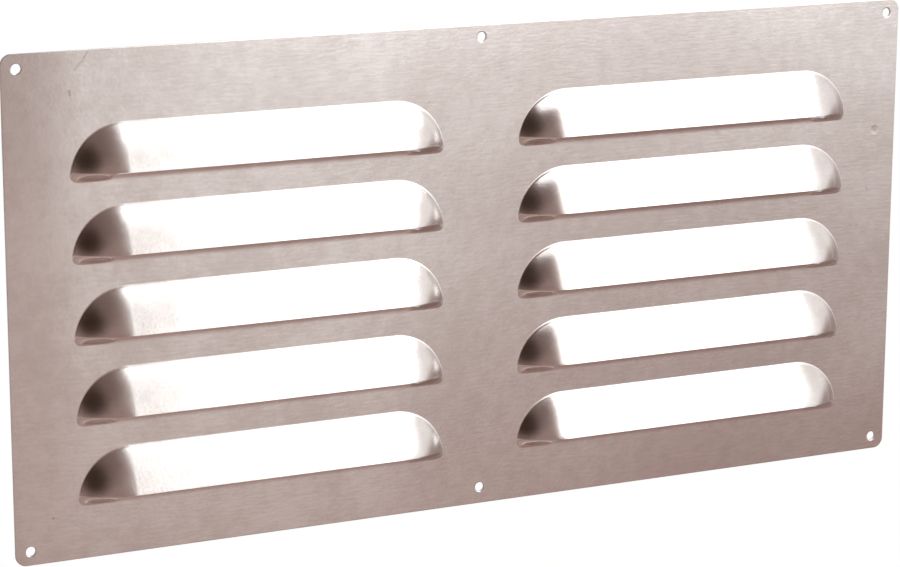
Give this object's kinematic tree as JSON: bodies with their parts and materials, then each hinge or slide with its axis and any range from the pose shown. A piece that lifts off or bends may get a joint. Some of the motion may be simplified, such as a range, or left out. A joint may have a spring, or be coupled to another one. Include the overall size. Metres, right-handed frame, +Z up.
{
  "type": "louvred panel",
  "caption": "Rectangular sheet metal ventilation panel with pressed louvres that open downwards, round corners and screw holes along its rim.",
  "frame": {"origin": "centre of the flat back face, which lies against the wall", "axes": "+X along the panel's length, +Z up, and the louvres stand out towards -Y; the back face is at Y = 0"},
  "size_m": [0.457, 0.0106, 0.229],
  "materials": {
    "sheet_metal": "bright mill finish"
  },
  "bodies": {
    "root": {"louvred_panel": "sheet_metal"}
  },
  "joints": []
}
